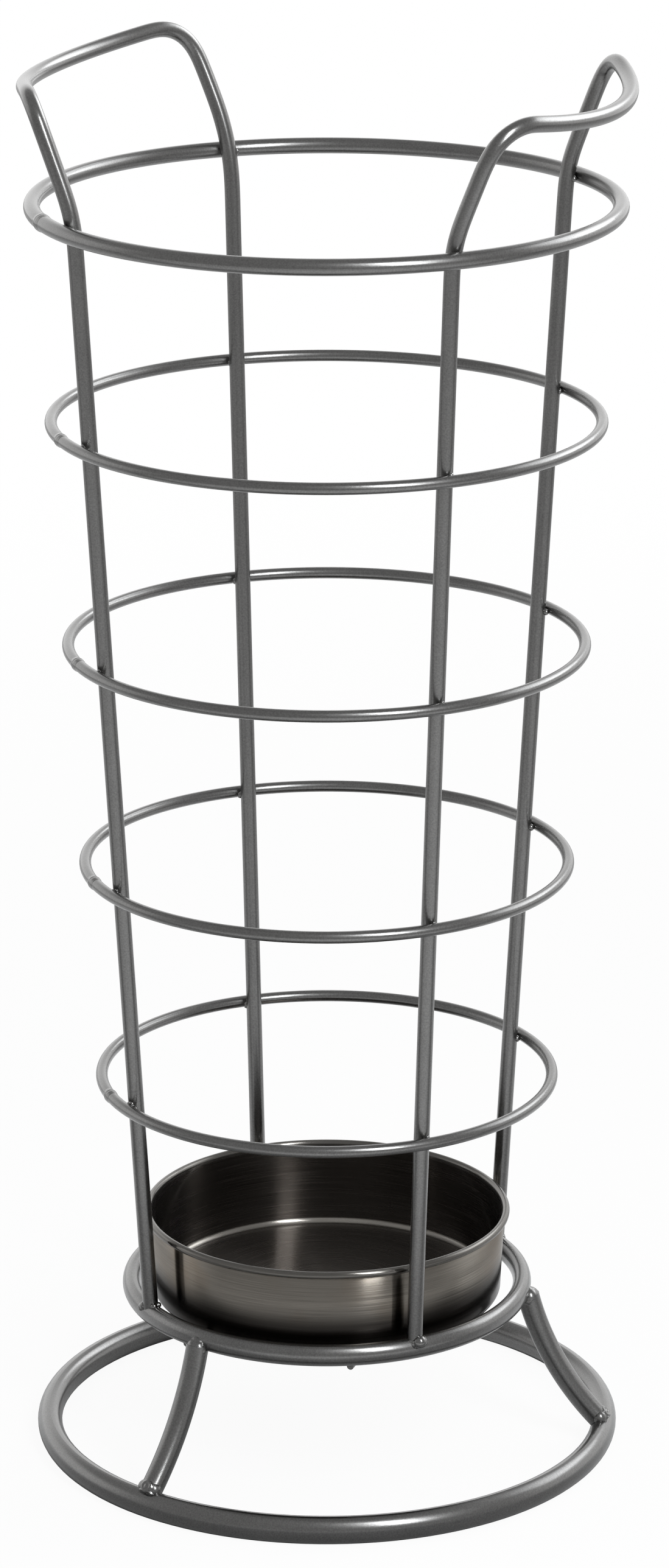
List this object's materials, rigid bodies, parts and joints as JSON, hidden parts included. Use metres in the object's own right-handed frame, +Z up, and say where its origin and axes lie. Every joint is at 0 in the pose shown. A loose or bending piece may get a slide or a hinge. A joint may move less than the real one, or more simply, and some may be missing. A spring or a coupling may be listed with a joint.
{
  "type": "umbrella stand",
  "caption": "Tapered umbrella stand of welded steel wire hoops on flared legs and a heavy base ring, with bent rod handles and a loose round drip tray.",
  "frame": {"origin": "on the floor, under the middle of the base ring", "axes": "+Z up, the two handles face +X and -X"},
  "size_m": [0.2504, 0.2504, 0.5943],
  "materials": {
    "wire_paint": "satin metallic grey lacquer with a fine grain over steel wire",
    "weld_metal": "the same grey lacquer, glossier and lumpy over weld beads",
    "tray_finish": "dark bronze-grey lacquer over pressed sheet with fine turned lines"
  },
  "bodies": {
    "frame": {"base_ring": "wire_paint", "tray_ring": "wire_paint", "leg_right": "wire_paint", "leg_back": "wire_paint", "leg_front": "wire_paint", "right_handle_rod": "wire_paint", "left_handle_rod": "wire_paint", "tray_rest_right": "wire_paint", "tray_rest_left": "wire_paint", "top_hoop": "wire_paint", "upper_hoop": "wire_paint", "middle_hoop": "wire_paint", "lower_hoop": "wire_paint", "bottom_hoop": "wire_paint", "top_hoop_welds": "weld_metal", "upper_hoop_welds": "weld_metal", "middle_hoop_welds": "weld_metal", "lower_hoop_welds": "weld_metal", "bottom_hoop_welds": "weld_metal", "hoop_seam_welds": "weld_metal", "upright_foot_welds": "weld_metal", "leg_top_welds": "weld_metal", "leg_foot_welds": "weld_metal", "tray_rest_welds": "weld_metal"},
    "tray": {"drip_tray": "tray_finish"}
  },
  "joints": [
    {"name": "tray_lift", "type": "slide", "parent": "frame", "child": "tray", "axis": [0, 0, 1], "range_m": [0, 0.55]}
  ]
}
